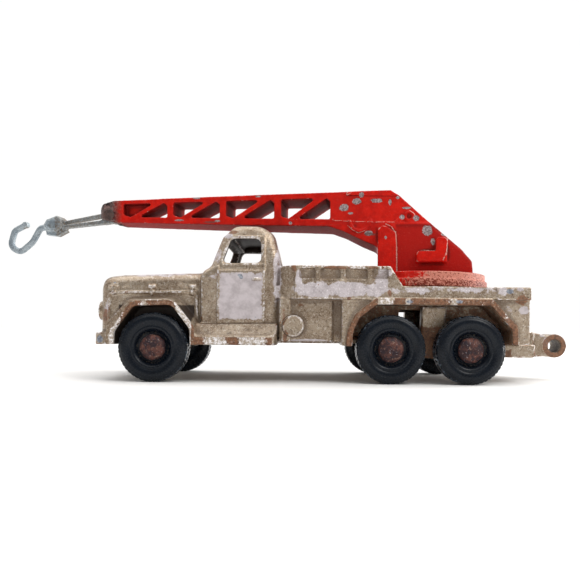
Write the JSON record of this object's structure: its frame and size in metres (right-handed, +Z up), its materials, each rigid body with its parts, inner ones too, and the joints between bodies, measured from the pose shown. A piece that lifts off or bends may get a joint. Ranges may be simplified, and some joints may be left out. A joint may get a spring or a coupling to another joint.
{
  "type": "toy crane truck",
  "caption": "Die-cast toy bonneted truck with a lattice crane jib that slews on the bed, a swinging cast hook and free-rolling wheels on steel axles.",
  "frame": {"origin": "on the surface the tyres stand on, under the middle of the whole toy measured from the tow eye to the hook", "axes": "+X towards the front of the truck, +Y to its left side, +Z up"},
  "size_m": [0.087, 0.023, 0.0272],
  "materials": {
    "truck_paint": "worn tan-silver metallic paint, chipped to rusty brown and pale bare metal along the edges",
    "crane_paint": "semi-gloss bright red paint, worn pink at the edges and chipped to grey metal",
    "tyre_plastic": "blue-black moulded plastic with a soft gloss and scuffed tread",
    "axle_steel": "plain steel pin, rusted brown on its domed heads",
    "rivet_steel": "dull steel",
    "pin_steel": "dark tarnished steel",
    "hook_zinc": "bare blue-grey cast zinc, dull"
  },
  "bodies": {
    "chassis": {"truck_body": "truck_paint", "base_plate": "truck_paint", "base_rivet_front": "rivet_steel", "base_rivet_rear": "rivet_steel"},
    "crane": {"crane_jib": "crane_paint", "turntable_rivet": "rivet_steel", "pivot_washer": "rivet_steel", "hook_pin": "pin_steel"},
    "hook": {"hook_block": "hook_zinc"},
    "front_axle_pin": {"front_axle": "axle_steel"},
    "front_left_wheel": {"front_wheel_left": "tyre_plastic"},
    "front_right_wheel": {"front_wheel_right": "tyre_plastic"},
    "middle_axle_pin": {"middle_axle": "axle_steel"},
    "middle_left_wheel": {"middle_wheel_left": "tyre_plastic"},
    "middle_right_wheel": {"middle_wheel_right": "tyre_plastic"},
    "rear_axle_pin": {"rear_axle": "axle_steel"},
    "rear_left_wheel": {"rear_wheel_left": "tyre_plastic"},
    "rear_right_wheel": {"rear_wheel_right": "tyre_plastic"}
  },
  "joints": [
    {"name": "crane_slew", "type": "hinge", "parent": "chassis", "child": "crane", "pos_m": [-0.02197, 0, 0.013], "axis": [0, 0, 1], "continuous": true},
    {"name": "hook_swing", "type": "hinge", "parent": "crane", "child": "hook", "pos_m": [0.02527, -0.00664, 0.02475], "axis": [0.1392, 0.9903, 0], "range_deg": [-60, 75]},
    {"name": "front_axle_spin", "type": "hinge", "parent": "chassis", "child": "front_axle_pin", "pos_m": [0.01469, 0, 0.00456], "axis": [0, 1, 0], "continuous": true},
    {"name": "front_left_wheel_spin", "type": "hinge", "parent": "front_axle_pin", "child": "front_left_wheel", "pos_m": [0.01469, 0.0096, 0.00456], "axis": [0, 1, 0], "continuous": true},
    {"name": "front_right_wheel_spin", "type": "hinge", "parent": "front_axle_pin", "child": "front_right_wheel", "pos_m": [0.01469, -0.0096, 0.00456], "axis": [0, 1, 0], "continuous": true},
    {"name": "middle_axle_spin", "type": "hinge", "parent": "chassis", "child": "middle_axle_pin", "pos_m": [-0.01658, 0, 0.00456], "axis": [0, 1, 0], "continuous": true},
    {"name": "middle_left_wheel_spin", "type": "hinge", "parent": "middle_axle_pin", "child": "middle_left_wheel", "pos_m": [-0.01658, 0.0096, 0.00456], "axis": [0, 1, 0], "continuous": true},
    {"name": "middle_right_wheel_spin", "type": "hinge", "parent": "middle_axle_pin", "child": "middle_right_wheel", "pos_m": [-0.01658, -0.0096, 0.00456], "axis": [0, 1, 0], "continuous": true},
    {"name": "rear_axle_spin", "type": "hinge", "parent": "chassis", "child": "rear_axle_pin", "pos_m": [-0.02704, 0, 0.00456], "axis": [0, 1, 0], "continuous": true},
    {"name": "rear_left_wheel_spin", "type": "hinge", "parent": "rear_axle_pin", "child": "rear_left_wheel", "pos_m": [-0.02704, 0.0096, 0.00456], "axis": [0, 1, 0], "continuous": true},
    {"name": "rear_right_wheel_spin", "type": "hinge", "parent": "rear_axle_pin", "child": "rear_right_wheel", "pos_m": [-0.02704, -0.0096, 0.00456], "axis": [0, 1, 0], "continuous": true}
  ]
}
